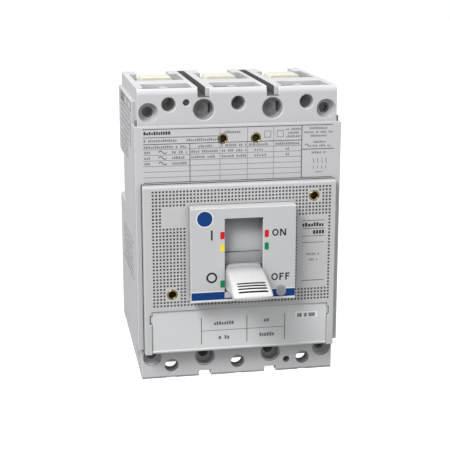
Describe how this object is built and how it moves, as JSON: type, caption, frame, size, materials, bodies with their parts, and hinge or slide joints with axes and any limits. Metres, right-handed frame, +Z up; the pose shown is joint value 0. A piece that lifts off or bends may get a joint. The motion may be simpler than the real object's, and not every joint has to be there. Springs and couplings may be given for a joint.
{
  "type": "molded case breaker",
  "caption": "Molded case circuit breaker for three phases with a toggle handle, push-to-trip button, front terminals and screw holes for panel mounting.",
  "frame": {"origin": "centre of the rear mounting face", "axes": "+X across the poles to the right seen from the front, +Y rearwards out of the mounting face, +Z up towards the line terminals"},
  "size_m": [0.09, 0.1049, 0.1299],
  "materials": {
    "housing_plastic": "fine spark-eroded moulded texture",
    "cover_plastic": "fine moulded texture",
    "accessory_plastic": "satin moulded with a field of small dimples",
    "mask_plastic": "satin moulded",
    "panel_plastic": "satin moulded",
    "brass": "turned",
    "zinc_steel": "zinc plated",
    "copper": "rolled copper",
    "braid_copper": "woven tinned copper",
    "contact_silver": "silver alloy, satin",
    "arc_steel": "zinc plated sheet",
    "vulcanised_fibre": "fibre board",
    "cream_insulator": "moulded thermoset",
    "bimetal_strip": "rolled strip",
    "magnet_iron": "blanked sheet",
    "mechanism_steel": "blanked plated sheet",
    "dark_plastic": "glass-filled thermoset",
    "toggle_plastic": "smooth moulded",
    "shutter_plastic": "smooth moulded",
    "button_plastic": "smooth moulded",
    "spring_steel": "drawn wire"
  },
  "bodies": {
    "case": {"rear_housing": "housing_plastic", "front_cover": "cover_plastic", "accessory_cover": "accessory_plastic", "handle_mask": "mask_plastic", "rating_panel": "panel_plastic", "cover_screws": "brass", "accessory_screws": "brass", "case_screws": "zinc_steel", "line_conductor_left": "copper", "line_conductor_centre": "copper", "line_conductor_right": "copper", "load_conductor_left": "copper", "load_conductor_centre": "copper", "load_conductor_right": "copper", "fixed_contacts": "contact_silver", "arc_plates_left": "arc_steel", "arc_plates_centre": "arc_steel", "arc_plates_right": "arc_steel", "arc_frame_left": "vulcanised_fibre", "arc_frame_centre": "vulcanised_fibre", "arc_frame_right": "vulcanised_fibre", "line_nut_holders": "cream_insulator", "load_nut_holders": "cream_insulator", "terminal_nuts": "zinc_steel", "terminal_screws": "zinc_steel", "terminal_washers": "zinc_steel", "bimetal_left": "bimetal_strip", "bimetal_centre": "bimetal_strip", "bimetal_right": "bimetal_strip", "calibration_screws": "brass", "magnet_yokes": "magnet_iron", "armature_pins": "zinc_steel", "flexible_braids": "braid_copper", "mechanism_frame": "mechanism_steel", "frame_rods": "zinc_steel", "toggle_pins": "zinc_steel", "cradle_pin": "zinc_steel", "button_spring": "spring_steel"},
    "toggle": {"toggle": "toggle_plastic", "spring_bar": "zinc_steel", "main_springs": "spring_steel"},
    "shutter": {"shutter": "shutter_plastic"},
    "crossbar": {"crossbar": "dark_plastic", "contact_arm_left": "copper", "contact_arm_centre": "copper", "contact_arm_right": "copper", "moving_contacts": "contact_silver", "arm_pins": "zinc_steel", "contact_springs": "spring_steel", "drive_pin": "zinc_steel"},
    "upper_link": {"upper_links": "mechanism_steel", "knee_pin": "zinc_steel"},
    "lower_link": {"lower_links": "mechanism_steel"},
    "cradle": {"cradle": "mechanism_steel"},
    "latch": {"latch_plate": "mechanism_steel"},
    "trip_bar": {"trip_bar": "dark_plastic"},
    "armature_left": {"armature_left": "magnet_iron"},
    "armature_centre": {"armature_centre": "magnet_iron"},
    "armature_right": {"armature_right": "magnet_iron"},
    "trip_button": {"trip_button": "button_plastic"}
  },
  "joints": [
    {"name": "toggle_swing", "type": "hinge", "parent": "case", "child": "toggle", "pos_m": [0, -0.048, -0.0062], "axis": [-1, 0, 0], "range_deg": [0, 31.4], "deforming": ["main_springs"]},
    {"name": "shutter_slide", "type": "hinge", "parent": "case", "child": "shutter", "pos_m": [0, -0.048, -0.0062], "axis": [-1, 0, 0], "range_deg": [0, 15.7]},
    {"name": "contact_swing", "type": "hinge", "parent": "case", "child": "crossbar", "pos_m": [0, -0.026, -0.012], "axis": [-1, 0, 0], "range_deg": [0, 28]},
    {"name": "latch_release", "type": "hinge", "parent": "case", "child": "latch", "pos_m": [0, -0.054, -0.015], "axis": [-1, 0, 0], "range_deg": [0, 12]},
    {"name": "trip_bar_turn", "type": "hinge", "parent": "case", "child": "trip_bar", "pos_m": [0, -0.046, -0.024], "axis": [-1, 0, 0], "range_deg": [0, 20]},
    {"name": "cradle_release", "type": "hinge", "parent": "case", "child": "cradle", "pos_m": [0, -0.052, 0.012], "axis": [-1, 0, 0], "range_deg": [0, 2]},
    {"name": "upper_link_turn", "type": "hinge", "parent": "cradle", "child": "upper_link", "pos_m": [0, -0.046, 0.006], "axis": [-1, 0, 0], "range_deg": [-37.22, 0]},
    {"name": "lower_link_turn", "type": "hinge", "parent": "crossbar", "child": "lower_link", "pos_m": [0, -0.03443, -0.00493], "axis": [-1, 0, 0], "range_deg": [-24.68, 0]},
    {"name": "armature_left_tilt", "type": "hinge", "parent": "case", "child": "armature_left", "pos_m": [-0.034, -0.0378, -0.0305], "axis": [1, 0, 0], "range_deg": [0, 8]},
    {"name": "armature_centre_tilt", "type": "hinge", "parent": "case", "child": "armature_centre", "pos_m": [-0.004, -0.0378, -0.0305], "axis": [1, 0, 0], "range_deg": [0, 8]},
    {"name": "armature_right_tilt", "type": "hinge", "parent": "case", "child": "armature_right", "pos_m": [0.026, -0.0378, -0.0305], "axis": [1, 0, 0], "range_deg": [0, 8]},
    {"name": "trip_button_press", "type": "slide", "parent": "case", "child": "trip_button", "axis": [0, 1, 0], "range_m": [0, 0.002], "deforming": ["button_spring"]}
  ],
  "couplings": [
    {"joint": "shutter_slide", "follows": "toggle_swing", "ratio": 0.5},
    {"joint": "contact_swing", "follows": "toggle_swing", "ratio": 0.89172},
    {"joint": "upper_link_turn", "follows": "toggle_swing", "ratio": -1.1852},
    {"joint": "lower_link_turn", "follows": "toggle_swing", "ratio": -0.78586},
    {"joint": "trip_bar_turn", "follows": "trip_button_press", "rad_per_m": 174.53},
    {"joint": "latch_release", "follows": "trip_button_press", "rad_per_m": 104.72}
  ]
}
